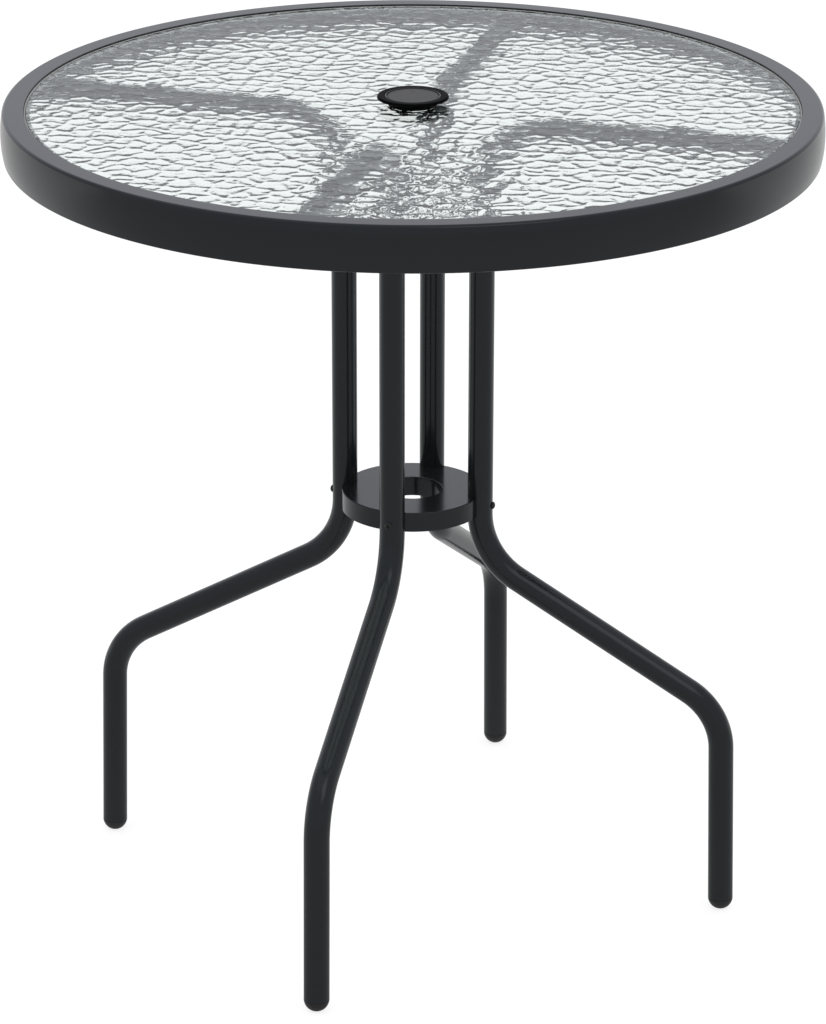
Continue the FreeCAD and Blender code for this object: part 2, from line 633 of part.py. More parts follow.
def build():
    """All pieces of the table by node name."""
    nodes = {
        "rim": rim(),
        "glass_seal": glass_seal(),
        "glass_top": glass_top(),
        "umbrella_ring": umbrella_ring(),
        "umbrella_cap": umbrella_cap(),
        "hub_ring": hub_ring(),
        "hub_base_plate": hub_base_plate(),
        "hub_screws": at_all_legs(hub_screw()),
        "hub_nuts": at_all_legs(hub_nut()),
        "arm_bolts": at_all_legs(arm_bolt()),
        "arm_nuts": at_all_legs(arm_nut()),
        "arm_washers": Part.makeCompound(
            [at_leg(washer, index) for index in range(LEG_COUNT) for washer in arm_washers()]
        ),
    }
    repeated = {
        "leg": leg(),
        "foot_cap": foot_cap(),
        "arm_plug": arm_plug(),
        "rim_bracket": rim_bracket(),
        "glass_pad": glass_pad(),
    }
    for name, shape in repeated.items():
        for index, side in enumerate(LEG_NAMES):
            nodes[f"{name}_{side}"] = at_leg(shape, index)
    return nodes


os.makedirs("parts", exist_ok=True)
for node_name, node_shape in build().items():
    node_shape.exportStep(os.path.join("parts", node_name + ".step"))
    print(node_name, len(node_shape.Solids), "solids, valid", node_shape.isValid(), round(node_shape.Volume))
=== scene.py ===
"""Round patio table: rippled glass in a steel rim, bent tube legs, hub ring and umbrella cap.

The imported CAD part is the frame. Each visible piece is modelled here at the place the frame gives
it, in metres, and the plain hidden hardware keeps its CAD mesh and gets a finish.
"""

import logging
import math
from collections.abc import Callable, Mapping, Sequence
from dataclasses import dataclass, field
from enum import Enum
from typing import Any, NamedTuple

import bmesh
import bpy
from mathutils import Matrix, Vector


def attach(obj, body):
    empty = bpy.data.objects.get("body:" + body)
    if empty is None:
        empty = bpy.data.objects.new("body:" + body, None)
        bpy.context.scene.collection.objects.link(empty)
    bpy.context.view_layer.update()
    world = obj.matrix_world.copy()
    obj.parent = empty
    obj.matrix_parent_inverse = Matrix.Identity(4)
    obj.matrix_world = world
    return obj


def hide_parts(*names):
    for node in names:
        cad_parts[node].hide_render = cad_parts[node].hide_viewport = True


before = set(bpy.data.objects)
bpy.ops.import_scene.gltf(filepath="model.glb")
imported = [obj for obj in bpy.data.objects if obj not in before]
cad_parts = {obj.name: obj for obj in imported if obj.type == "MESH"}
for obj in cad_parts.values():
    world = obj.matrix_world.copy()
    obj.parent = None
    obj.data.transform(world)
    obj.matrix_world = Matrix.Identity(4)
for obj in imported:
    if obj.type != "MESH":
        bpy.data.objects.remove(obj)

Colour = tuple[float, float, float, float]
Triple = tuple[float, float, float]
Sockets = Mapping[str | int, Any]

LOG = logging.getLogger("patio_table")
UP = Vector((0, 0, 1))
MM = 0.001
SAME_VERTEX = 0.002 * MM  # vertices nearer than this are merged
SAME_CORNER = 0.01 * MM  # the vertex nearer than this to a corner is that corner
ARC_STEP = 0.35 * MM  # a rounded corner gets one more segment for each such step of its radius
ARC_SEGMENTS = (2, 10)  # fewest and most segments of a rounded corner
OVERCUT = MM  # how far a cutting piece reaches past what it cuts
FACING = 0.9  # a face whose normal has this much of a direction faces that way
FACE_WEIGHT = 80  # how far large faces lead the shading of the small ones beside them
NOISE_MIDDLE = 0.5  # middle of the values of a noise


class Side(Enum):
    """The four legs, by the quarter turns from +X."""

    RIGHT = 0
    BACK = 1
    LEFT = 2
    FRONT = 3

    def label(self, piece: str) -> str:
        """Name of a piece on this side."""
        return f"{piece}_{self.name.lower()}"


class Body(Enum):
    """Moving bodies of the part."""

    TABLE = "table"
    CAP = "cap"


class Slot(Enum):
    """Material slots of the record."""

    FRAME_PAINT = "frame_paint"
    GLASS = "glass"
    SEAL = "seal"
    FOOT_PLASTIC = "foot_plastic"
    BLACK_SCREW = "black_screw"
    RING_PLASTIC = "ring_plastic"
    CAP_PLASTIC = "cap_plastic"


class Pick(Enum):
    """Kinds of mesh element that can be selected by place."""

    VERTS = "VERT"
    EDGES = "EDGE"
    FACES = "FACE"


class Keep(Enum):
    """What a cut leaves of the piece: the part outside the tool, or the part inside it."""

    OUTSIDE = "DIFFERENCE"
    INSIDE = "INTERSECT"


class Solver(Enum):
    """Ways to work out a cut: with care for faces that touch, or fast on closed meshes."""

    CAREFUL = "EXACT"
    FAST = "MANIFOLD"


class Corner(NamedTuple):
    """Corner of a turned outline, with the radius that rounds it."""

    radius: float
    height: float
    rounding: float = 0.0


class Lamp(NamedTuple):
    """Square soft lamp, by its name, place, width in metres and power in watts."""

    name: str
    place: Vector
    size: float
    watts: float


# Shader and geometry nodes


class Signal:
    """Output socket of a node, on which Python arithmetic adds Math nodes."""

    def __init__(self, board: "Board", socket: bpy.types.NodeSocket) -> None:
        """Keeps the socket and the board it is on."""
        self.board = board
        self.socket = socket

    def out(self, name: str) -> "Signal":
        """Another output of the same node, by name."""
        outputs = self.socket.node.outputs
        return Signal(self.board, next(s for s in outputs if s.enabled and s.name == name))

    def math(self, operation: str, *others: "Signal | float") -> "Signal":
        """Adds a Math node that takes this value first."""
        return self.board.math(operation, self, *others)

    def __add__(self, other: "Signal | float") -> "Signal":
        """This value plus another."""
        return self.math("ADD", other)

    def __radd__(self, other: float) -> "Signal":
        """A number plus this value."""
        return self.board.math("ADD", other, self)

    def __sub__(self, other: "Signal | float") -> "Signal":
        """This value less another."""
        return self.math("SUBTRACT", other)

    def __rsub__(self, other: float) -> "Signal":
        """A number less this value."""
        return self.board.math("SUBTRACT", other, self)

    def __mul__(self, other: "Signal | float") -> "Signal":
        """This value times another."""
        return self.math("MULTIPLY", other)

    def __rmul__(self, other: float) -> "Signal":
        """A number times this value."""
        return self.board.math("MULTIPLY", other, self)

    def __truediv__(self, other: "Signal | float") -> "Signal":
        """This value over another."""
        return self.math("DIVIDE", other)

    def __rtruediv__(self, other: float) -> "Signal":
        """A number over this value."""
        return self.board.math("DIVIDE", other, self)

    def __pow__(self, power: float) -> "Signal":
        """This value to a power."""
        return self.math("POWER", power)

    def clamped(self) -> "Signal":
        """This value held between 0 and 1."""
        return self.math("MAXIMUM", 0.0).math("MINIMUM", 1.0)


class Board:
    """Node tree to which nodes are added by type, settings and socket values."""

    def __init__(self, tree: bpy.types.NodeTree) -> None:
        """Keeps the tree."""
        self.tree = tree

    @classmethod
    def cleared(cls, owner: bpy.types.ID) -> "Board":
        """Empties the nodes of a material or world.

        Args:
            owner: the material or world.

        Returns:
            Its board.
        """
        owner.use_nodes = True
        owner.node_tree.nodes.clear()
        return cls(owner.node_tree)

    def node(
        self, kind: str, settings: Mapping[str, Any] | None = None, sockets: Sockets | None = None
    ) -> Signal:
        """Adds one node.

        Args:
            kind: node type.
            settings: node properties, such as a Math node's operation, which are set first.
            sockets: values or links, by input name or number.

        Returns:
            The node's first output that is in use, or its first input where it has no output.
        """
        made = self.tree.nodes.new(kind)
        for name, value in (settings or {}).items():
            setattr(made, name, value)
        for key, value in (sockets or {}).items():
            target = made.inputs[key] if isinstance(key, int) else self._input(made, key)
            if isinstance(value, Signal):
                self.tree.links.new(value.socket, target)
            else:
                target.default_value = value
        in_use = [s for s in made.outputs if s.enabled]
        return Signal(self, in_use[0] if in_use else made.inputs[0])

    @staticmethod
    def _input(made: bpy.types.Node, name: str) -> bpy.types.NodeSocket:
        """First input in use with this name."""
        return next(s for s in made.inputs if s.enabled and s.name == name)

    def math(self, operation: str, *values: Signal | float) -> Signal:
        """Adds a Math node on up to three values."""
        return self.node("ShaderNodeMath", {"operation": operation}, dict(enumerate(values)))

    def vector(self, operation: str, *values: Signal | Sequence[float]) -> Signal:
        """Adds a Vector Math node on up to three vectors."""
        return self.node("ShaderNodeVectorMath", {"operation": operation}, dict(enumerate(values)))

    def scaled(self, vector: Signal, factor: float) -> Signal:
        """A vector times a number."""
        sockets = {0: vector, "Scale": factor}
        return self.node("ShaderNodeVectorMath", {"operation": "SCALE"}, sockets)

    def mixed(self, share: Signal, first: Colour, second: Colour) -> Signal:
        """Mixes two colours, the first at share 0 and the second at share 1."""
        sockets = {"Factor": share, "A": first, "B": second}
        return self.node("ShaderNodeMix", {"data_type": "RGBA"}, sockets)

    def noise(
        self, point: Signal, size: float, detail: float = 2.0, roughness: float = 0.5
    ) -> Signal:
        """Noise value of 0 to 1 whose lumps are about a given size, in metres."""
        sockets = {"Vector": point, "Scale": 1.0 / size, "Detail": detail, "Roughness": roughness}
        return self.node("ShaderNodeTexNoise", {}, sockets)

    def eased(self, value: Signal, low: float, high: float) -> Signal:
        """Smooth step of a value from 0 at low to 1 at high."""
        sockets = {"Value": value, "From Min": low, "From Max": high}
        return self.node("ShaderNodeMapRange", {"interpolation_type": "SMOOTHSTEP"}, sockets)

    def bump(self, height: Signal, strength: float, depth: float) -> Signal:
        """Normal bent by a height that stands for a depth in metres."""
        sockets = {"Strength": strength, "Distance": depth, "Height": height}
        return self.node("ShaderNodeBump", {}, sockets)


# Finishes


def grey(level: float, warmth: float = 0.0) -> Colour:
    """Linear near-grey, warmer above 0 and cooler below."""
    return (level * (1 + warmth), level, level * (1 - warmth), 1.0)


class Finish:
    """Base of the finishes: makes one Principled material when it is first asked for."""

    title: str

    def dress(self, board: Board, point: Signal) -> Sockets:
        """Sockets of the Principled shader.

        Args:
            board: the material's nodes.
            point: Object coordinates.

        Returns:
            Values or links by socket name.
        """
        raise NotImplementedError

    def close(self, board: Board, surface: Signal) -> Signal:
        """Shader that reaches the output, the surface itself unless a finish adds to it."""
        return surface

    def inside(self, board: Board) -> Sockets:
        """Volume socket of the output, for a finish that light passes through."""
        return {}

    def material(self) -> bpy.types.Material:
        """The finish as a Blender material.

        Returns:
            The material, the same one each time.
        """
        known = bpy.data.materials.get(self.title)
        if known:
            return known
        made = bpy.data.materials.new(self.title)
        board = Board.cleared(made)
        point = board.node("ShaderNodeTexCoord").out("Object")
        surface = board.node("ShaderNodeBsdfPrincipled", {}, self.dress(board, point))
        sockets = {"Surface": self.close(board, surface), **self.inside(board)}
        board.node("ShaderNodeOutputMaterial", {}, sockets)
        return made


@dataclass(frozen=True)
class PowderCoat(Finish):
    """Charcoal powder coat with a fine orange peel and a soft gloss."""

    title: str = "powder_coat"
    dark: Colour = grey(0.0066, -0.16)
    light: Colour = grey(0.0086, -0.16)
    cloud_size: float = 90 * MM
    roughness: float = 0.17
    roughness_swing: float = 0.05
    specular: float = 0.5
    sheen_tint: Colour = (0.90, 0.95, 1.0, 1.0)
    speck_size: float = 0.8 * MM
    speck_span: tuple[float, float] = (0.68, 0.8)
    speck_roughness: float = 0.12
    peel_size: float = 1.3 * MM
    peel_strength: float = 0.05
    peel_depth: float = 0.3 * MM
    swell_size: float = 14 * MM
    swell_share: float = 2.0

    def dress(self, board: Board, point: Signal) -> Sockets:
        """Mottled charcoal, uneven gloss and an orange-peel bump.

        Args:
            board: the material's nodes.
            point: Object coordinates.

        Returns:
            Values or links by socket name.
        """
        clouds = board.noise(point, self.cloud_size, detail=3.0)
        specks = board.eased(board.noise(point, self.speck_size, detail=1.0), *self.speck_span)
        peel = board.noise(point, self.peel_size, roughness=0.45)
        swell = board.noise(point, self.swell_size, detail=1.0)
        height = peel + self.swell_share * swell
        swing = self.roughness_swing * (clouds - NOISE_MIDDLE)
        return {
            "Base Color": board.mixed(clouds, self.dark, self.light),
            "Roughness": self.roughness + swing + self.speck_roughness * specks,
            "Specular IOR Level": self.specular,
            "Specular Tint": self.sheen_tint,
            "Normal": board.bump(height, self.peel_strength, self.peel_depth),
        }


@dataclass(frozen=True)
class RippleGlass(Finish):
    """Clear tempered glass, faintly green, that darkens the light caught in its creases."""

    title: str = "ripple_glass"
    clear: Colour = (0.955, 0.985, 0.98, 1.0)
    gloss_tint: Colour = grey(0.4)
    roughness: float = 0.015
    refraction: float = 1.5
    absorbed: Colour = (0.10, 0.25, 0.20, 1.0)
    density: float = 16.0
    shadow_tint: Colour = (0.88, 0.92, 0.905, 1.0)
    wave_size: float = 5.0 * MM
    wave_strength: float = 0.30
    wave_depth: float = 0.6 * MM

    def dress(self, board: Board, point: Signal) -> Sockets:
        """Faint green tint and a fine waviness on the pebbles.

        Args:
            board: the material's nodes.
            point: Object coordinates.

        Returns:
            Values or links by socket name.
        """
        waves = board.noise(point, self.wave_size, roughness=0.55)
        return {
            "Base Color": self.clear,
            "Roughness": self.roughness,
            "Specular Tint": self.gloss_tint,
            "IOR": self.refraction,
            "Transmission Weight": 1.0,
            "Normal": board.bump(waves, self.wave_strength, self.wave_depth),
        }

    def inside(self, board: Board) -> Sockets:
        """Absorbs light on its way through the glass, most of all what the creases hold back."""
        sockets = {"Color": self.absorbed, "Density": self.density}
        return {"Volume": board.node("ShaderNodeVolumeAbsorption", {}, sockets)}

    def close(self, board: Board, surface: Signal) -> Signal:
        """Lets lamp light through, so that the glass casts a faint shadow only.

        Args:
            board: the material's nodes.
            surface: the glass itself.

        Returns:
            The glass, with a see-through shader for shadows.
        """
        shade = board.node("ShaderNodeBsdfTransparent", {}, {"Color": self.shadow_tint})
        for_lamps = board.node("ShaderNodeLightPath").out("Is Shadow Ray")
        return board.node("ShaderNodeMixShader", {}, {0: for_lamps, 1: surface, 2: shade})


@dataclass(frozen=True)
class MouldedPlastic(Finish):
    """Injection-moulded plastic with a fine grain."""

    title: str
    dark: Colour
    light: Colour
    roughness: float
    grain_size: float
    grain_strength: float
    scuff: float
    specular: float = 0.5
    rim_radius: float = 0.0  # outside it the plastic is as glossy as an untouched rim, 0 for none
    rim_roughness: float = 0.22
    cloud_size: float = 11 * MM
    roughness_swing: float = 0.08
    scuff_size: float = 5 * MM
    scuff_span: tuple[float, float] = (0.55, 0.75)
    grain_depth: float = 0.2 * MM

    def dress(self, board: Board, point: Signal) -> Sockets:
        """Slightly mottled colour, grain and soft scuffs.

        Args:
            board: the material's nodes.
            point: Object coordinates.

        Returns:
            Values or links by socket name.
        """
        clouds = board.noise(point, self.cloud_size, detail=3.0)
        grain = board.noise(point, self.grain_size)
        marks = board.noise(point, self.scuff_size, detail=4.0, roughness=0.7)
        scuffs = board.eased(marks, *self.scuff_span)
        swing = self.roughness_swing * (clouds - NOISE_MIDDLE)
        roughness = self.roughness + swing + scuffs * self.scuff
        if self.rim_radius:
            flat = board.vector("MULTIPLY", point, (1.0, 1.0, 0.0))
            reach = board.vector("LENGTH", flat).out("Value")
            rim = reach.math("GREATER_THAN", self.rim_radius)
            roughness = roughness + rim * (self.rim_roughness - roughness)
        return {
            "Base Color": board.mixed(clouds, self.dark, self.light),
            "Roughness": roughness,
            "Specular IOR Level": self.specular,
            "Normal": board.bump(grain, self.grain_strength, self.grain_depth),
        }


@dataclass(frozen=True)
class BareMetal(Finish):
    """Plated or blackened steel of the small hardware."""

    title: str
    dark: Colour
    light: Colour
    roughness: float
    metallic: float
    cloud_size: float = 4 * MM
    roughness_swing: float = 0.15
    scratch_size: float = 1.2 * MM
    scratch_stretch: Triple = (1.0, 1.0, 9.0)
    scratch_strength: float = 0.1
    scratch_depth: float = 0.1 * MM

    def dress(self, board: Board, point: Signal) -> Sockets:
        """Cloudy plating with fine scratches.

        Args:
            board: the material's nodes.
            point: Object coordinates.

        Returns:
            Values or links by socket name.
        """
        clouds = board.noise(point, self.cloud_size, detail=3.0)
        stretched = board.vector("MULTIPLY", point, self.scratch_stretch)
        scratches = board.noise(stretched, self.scratch_size, detail=3.0, roughness=0.6)
        return {
            "Base Color": board.mixed(clouds, self.dark, self.light),
            "Roughness": self.roughness + self.roughness_swing * (clouds - NOISE_MIDDLE),
            "Metallic": self.metallic,
            "Normal": board.bump(scratches, self.scratch_strength, self.scratch_depth),
        }


PAINT = PowderCoat()
GLASS = RippleGlass()
RING_PLASTIC = MouldedPlastic(
    "ring_moulding", grey(0.002), grey(0.004), roughness=0.34,
    grain_size=0.9 * MM, grain_strength=0.05, scuff=0.06, specular=0.008,
)
CAP_PLASTIC = MouldedPlastic(
    "cap_moulding", grey(0.007, 0.07), grey(0.044, 0.05), roughness=0.46,
    grain_size=0.7 * MM, grain_strength=0.25, scuff=0.14, rim_radius=22.9 * MM,
)
FOOT_PLASTIC = MouldedPlastic(
    "foot_moulding", grey(0.006), grey(0.009), roughness=0.36,
    grain_size=0.6 * MM, grain_strength=0.1, scuff=0.1,
)
RUBBER = MouldedPlastic(
    "pad_moulding", grey(0.010), grey(0.016), roughness=0.62,
    grain_size=0.4 * MM, grain_strength=0.2, scuff=0.1,
)
SEAL = MouldedPlastic(
    "seal_vinyl", grey(0.36), grey(0.46), roughness=0.5,
    grain_size=0.5 * MM, grain_strength=0.1, scuff=0.08,
)
ZINC = BareMetal("zinc_plating", grey(0.45), grey(0.62), roughness=0.32, metallic=1.0)
BLACK_SCREW = BareMetal("black_oxide", grey(0.012), grey(0.022), roughness=0.35, metallic=0.4)


# The bench, where meshes are shaped in edit mode


def clear_bench() -> None:
    """Goes to object mode with nothing selected."""
    if bpy.context.object and bpy.context.object.mode != "OBJECT":
        bpy.ops.object.mode_set(mode="OBJECT")
    bpy.ops.object.select_all(action="DESELECT")


class Workpiece:
    """One mesh object that is shaped with edit-mode operators and modifiers."""

    def __init__(self, name: str) -> None:
        """Takes the object that was just added, with its place in its mesh, and opens it.

        Args:
            name: piece name.
        """
        self.thing: bpy.types.Object = bpy.context.object
        self.thing.name = self.thing.data.name = name
        self.settle()
        self.open()
        bpy.ops.mesh.select_mode(type=Pick.VERTS.value)
        bpy.ops.mesh.select_all(action="SELECT")

    @classmethod
    def point(cls, name: str, place: Vector) -> "Workpiece":
        """Starts from one vertex, a small plane merged at its middle.

        Args:
            name: piece name.
            place: where the vertex stands.

        Returns:
            The piece, open, with the vertex selected.
        """
        clear_bench()
        bpy.ops.mesh.primitive_plane_add(size=MM, location=place)
        piece = cls(name)
        bpy.ops.mesh.merge(type="CENTER")
        return piece

    @classmethod
    def hoop(
        cls, name: str, radius: float, sides: int, place: Vector, tilt: float
    ) -> "Workpiece":
        """Starts from an open circle.

        Args:
            name: piece name.
            radius: circle radius.
            sides: number of vertices.
            place: middle of the circle.
            tilt: turn about Y from lying flat, in radians.

        Returns:
            The piece, open and selected all over.
        """
        clear_bench()
        bpy.ops.mesh.primitive_circle_add(
            vertices=sides, radius=radius, location=place, rotation=(0, tilt, 0)
        )
        return cls(name)

    @classmethod
    def bar(
        cls, name: str, radius: float, sides: int, start: Vector, end: Vector
    ) -> "Workpiece":
        """Starts from a closed straight bar.

        Args:
            name: piece name.
            radius: radius through its edges.
            sides: number of sides.
            start: middle of one end.
            end: middle of the other.

        Returns:
            The piece, open and selected all over.
        """
        clear_bench()
        along = end - start
        bpy.ops.mesh.primitive_cylinder_add(
            vertices=sides, radius=radius, depth=along.length,
            location=(start + end) / 2, rotation=along.to_track_quat("Z", "Y").to_euler(),
        )
        return cls(name)

    @classmethod
    def turned(
        cls, name: str, outline: Sequence[Corner], steps: int, closed: bool = True
    ) -> "Workpiece":
        """Spins a rounded outline about the table's axis.

        Args:
            name: piece name.
            outline: corners in order, the first of them unrounded where the outline is open.
            steps: spin steps in a full turn.
            closed: whether the outline comes back to its first corner.

        Returns:
            The turned piece, still open for editing.
        """
        places = [Vector((c.radius, 0, c.height)) for c in outline]
        piece = cls.point(name, places[0])
        piece.walk(places + places[:1] if closed else places)
        piece.merge_doubles()
        for index, corner in enumerate(outline):
            if corner.rounding > 0:
                piece.round_corner(places, index, corner.rounding)
        bpy.ops.mesh.select_all(action="SELECT")
        bpy.ops.mesh.spin(steps=steps, angle=math.tau, center=(0, 0, 0), axis=UP)
        piece.merge_doubles()
        bpy.ops.mesh.normals_make_consistent(inside=False)
        return piece

    def open(self) -> None:
        """Opens the mesh for editing."""
        bpy.context.view_layer.objects.active = self.thing
        bpy.ops.object.mode_set(mode="EDIT")

    def shut(self) -> None:
        """Leaves the mesh, selected alone."""
        clear_bench()
        bpy.context.view_layer.objects.active = self.thing
        self.thing.select_set(True)

    def settle(self) -> None:
        """Moves the object's place, turn and scale into its mesh."""
        self.shut()
        bpy.ops.object.transform_apply(location=True, rotation=True, scale=True)

    def extrude(self, way: Vector) -> None:
        """Extrudes what is selected."""
        bpy.ops.mesh.extrude_region_move(TRANSFORM_OT_translate={"value": way})

    def walk(self, places: Sequence[Vector]) -> None:
        """Extrudes the selected vertex from each place to the next."""
        for here, there in zip(places, places[1:]):
            self.extrude(there - here)

    def select(self, pick: Pick, test: Callable[[Any], bool]) -> None:
        """Selects exactly the elements that pass a test.

        Args:
            pick: kind of element.
            test: takes a vertex, edge or face and says whether it is wanted.
        """
        bpy.ops.mesh.select_mode(type=pick.value)
        bpy.ops.mesh.select_all(action="DESELECT")
        mesh = bmesh.from_edit_mesh(self.thing.data)
        elements = {Pick.VERTS: mesh.verts, Pick.EDGES: mesh.edges, Pick.FACES: mesh.faces}
        for element in elements[pick]:
            if test(element):
                element.select_set(True)
        mesh.select_flush_mode()
        bmesh.update_edit_mesh(self.thing.data)

    def merge_doubles(self) -> None:
        """Merges vertices that lie together."""
        bpy.ops.mesh.select_all(action="SELECT")
        bpy.ops.mesh.remove_doubles(threshold=SAME_VERTEX)

    def round_corner(self, places: Sequence[Vector], index: int, rounding: float) -> None:
        """Rounds one corner of a flat outline with a vertex bevel.

        Args:
            places: all corners of the outline.
            index: the corner to round.
            rounding: radius of the arc.
        """
        here = places[index]
        back = (places[index - 1] - here).normalized()
        ahead = (places[(index + 1) % len(places)] - here).normalized()
        reach = rounding / math.tan(back.angle(ahead) / 2)
        fewest, most = ARC_SEGMENTS
        segments = max(fewest, min(most, round(rounding / ARC_STEP) + 1))
        self.select(Pick.VERTS, lambda v: (v.co - here).length < SAME_CORNER)
        bpy.ops.mesh.bevel(
            offset=reach, offset_type="OFFSET", segments=segments, affect="VERTICES", profile=0.5
        )

    def modify(self, kind: str, **settings: Any) -> None:
        """Adds a modifier, sets it and applies it.

        Args:
            kind: modifier type.
            settings: its properties by name.
        """
        self.shut()
        modifier = self.thing.modifiers.new(kind.lower(), kind)
        for name, value in settings.items():
            setattr(modifier, name, value)
        bpy.ops.object.modifier_apply(modifier=modifier.name)

    def thicken(self, wall: float) -> None:
        """Gives an open shell a wall, inwards from its faces."""
        self.modify("SOLIDIFY", thickness=wall, offset=-1.0, use_even_offset=True)

    def cut(
        self, tool: "Workpiece", keep: Keep = Keep.OUTSIDE, solver: Solver = Solver.CAREFUL
    ) -> None:
        """Cuts with another piece and throws that piece away.

        Args:
            tool: the cutting piece.
            keep: what is left.
            solver: how the cut is worked out.
        """
        tool.shut()
        self.modify("BOOLEAN", operation=keep.value, object=tool.thing, solver=solver.value)
        bpy.data.meshes.remove(tool.thing.data)

    def twin(self, name: str, side: Side) -> "Workpiece":
        """Copies the piece, with its own mesh, to another side of the table.

        Args:
            name: name of the copy.
            side: where it goes.

        Returns:
            The copy.
        """
        self.shut()
        bpy.ops.object.duplicate(linked=False)
        bpy.context.object.rotation_euler.z = side.value * math.pi / 2
        return Workpiece(name)

    def join(self, others: Sequence["Workpiece"]) -> None:
        """Joins other pieces into this one.

        Args:
            others: the pieces, which end here.
        """
        self.shut()
        for other in others:
            other.thing.select_set(True)
        bpy.ops.object.join()

    def finish(
        self, body: Body, slot: Slot, look: Finish, nodes: Sequence[str], smooth: float = 35.0
    ) -> None:
        """Smooths and paints the piece and sets it on the frame.

        Args:
            body: body that it rides on.
            slot: its material slot, which is not used.
            look: finish.
            nodes: CAD nodes that it stands for.
            smooth: faces that meet at less than this many degrees share their shading.
        """
        self.shut()
        bpy.ops.object.shade_smooth_by_angle(angle=math.radians(smooth))
        self.modify("WEIGHTED_NORMAL", weight=FACE_WEIGHT, keep_sharp=True)
        self.thing.data.materials.clear()
        self.thing.data.materials.append(look.material())
        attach(self.thing, body.value)
        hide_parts(*nodes)
        clear_bench()
        faces = len(self.thing.data.polygons)
        LOG.info("%s: %d faces for %s", self.thing.name, faces, ", ".join(nodes))


# Sub-assemblies of the table


@dataclass(frozen=True)
class Places:
    """Sizes and places that several sub-assemblies share, as the frame has all but the ledge's."""

    table_radius: float = 350.0 * MM
    table_height: float = 725.0 * MM
    sheet: float = 1.2 * MM
    step_radius: float = 331.8 * MM
    ledge_radius: float = 326.6 * MM  # as narrow a ledge as the photograph shows
    ledge_top: float = 717.0 * MM
    glass_top: float = 723.2 * MM
    glass_bottom: float = 718.2 * MM
    tube_radius: float = 11.1 * MM
    tube_wall: float = 1.2 * MM
    arm_height: float = 704.5 * MM
    arm_end: float = 344.2 * MM
    upright_radius: float = 62.4 * MM
    foot_radius: float = 288.8 * MM
    foot_height: float = 10.6 * MM
    foot_splay: float = math.radians(1.4)
    ring_top: float = 731.6 * MM


@dataclass
class Rim:
    """Rolled steel rim and the seal between its ledge and the glass."""

    at: Places
    depth: float = 39.6 * MM
    corner: float = 3.0 * MM
    bow: float = 3.4 * MM
    bow_share: float = 0.72
    edge: float = 0.5 * MM
    hem: float = 5.0 * MM
    seal_wall: float = 0.9 * MM
    seal_gap: float = 0.3 * MM
    seal_lip_rise: float = 0.3 * MM
    seal_lip_edge: float = 0.2 * MM
    steps: int = 240

    def build_rim(self) -> None:
        """One strip: hem, bowed skirt, rounded corner, flat band, step and ledge."""
        at = self.at
        bottom = at.table_height - self.depth
        middle = at.table_height - self.depth / 2
        bow_radius = self.bow_share * (self.depth / 2) ** 2 / self.bow
        inside = at.table_radius - at.sheet
        bend = at.sheet + self.edge
        ledge_bottom = at.ledge_top - at.sheet
        Workpiece.turned("rim_strip", [
            Corner(at.table_radius, bottom, bend),
            Corner(at.table_radius + self.bow, middle, bow_radius),
            Corner(at.table_radius, at.table_height, self.corner),
            Corner(at.step_radius, at.table_height, self.edge),
            Corner(at.step_radius, at.ledge_top, self.edge),
            Corner(at.ledge_radius, at.ledge_top),
            Corner(at.ledge_radius, ledge_bottom),
            Corner(at.step_radius + at.sheet, ledge_bottom, bend),
            Corner(at.step_radius + at.sheet, at.table_height - at.sheet),
            Corner(inside, at.table_height - at.sheet, self.corner - at.sheet),
            Corner(inside + self.bow, middle, bow_radius - at.sheet),
            Corner(inside, bottom + at.sheet, self.edge),
            Corner(at.table_radius - self.hem, bottom + at.sheet),
            Corner(at.table_radius - self.hem, bottom),
        ], self.steps).finish(Body.TABLE, Slot.FRAME_PAINT, PAINT, ["rim"])

    def build_seal(self) -> None:
        """Angle-shaped seal under and round the glass."""
        at = self.at
        outer = at.step_radius - self.seal_gap
        lip = at.glass_top + self.seal_lip_rise
        Workpiece.turned("glass_seal_strip", [
            Corner(at.ledge_radius, at.ledge_top),
            Corner(outer, at.ledge_top, self.edge + self.seal_gap),
            Corner(outer, lip, self.seal_lip_edge),
            Corner(outer - self.seal_wall, lip, self.seal_lip_edge),
            Corner(outer - self.seal_wall, at.glass_bottom),
            Corner(at.ledge_radius, at.glass_bottom),
        ], self.steps).finish(Body.TABLE, Slot.SEAL, SEAL, ["glass_seal"])

    def build(self) -> None:
        """Builds the rim and its seal."""
        self.build_rim()
        self.build_seal()


@dataclass(frozen=True)
class PebblePattern:
    """Rolled pebbles of the glass, in metres but for the shares of a pitch."""

    pitch: float = 17.5 * MM
    irregularity: float = 0.85
    shoulder: float = 0.30  # distance from crease to crown, in pitches
    wander: float = 6.0 * MM
    wander_size: float = 17.0 * MM
    wander_detail: float = 1.5

    def crease_distance(self, board: Board, point: Signal) -> Signal:
        """Distance from the nearest crease between pebbles.

        Args:
            board: geometry nodes.
            point: place on the glass, in metres.

        Returns:
            The distance, in pitches.
        """
        drift = board.node(
            "ShaderNodeTexNoise", {"noise_dimensions": "2D"},
            {"Vector": point, "Scale": 1.0 / self.wander_size, "Detail": self.wander_detail},
        ).out("Color")
        centred = board.vector("SUBTRACT", drift, (NOISE_MIDDLE,) * 3)
        moved = board.vector("ADD", point, board.scaled(centred, 2 * self.wander))
        return board.node(
            "ShaderNodeTexVoronoi",
            {"feature": "DISTANCE_TO_EDGE", "voronoi_dimensions": "2D"},
            {"Vector": moved, "Scale": 1.0 / self.pitch, "Randomness": self.irregularity},
        )

    def crown(self, board: Board, point: Signal) -> Signal:
        """Height of a pebble, 0 in the creases to 1 on its crown."""
        climb = (self.crease_distance(board, point) / self.shoulder).clamped()
        return 1.0 - (1.0 - climb) ** 2.0


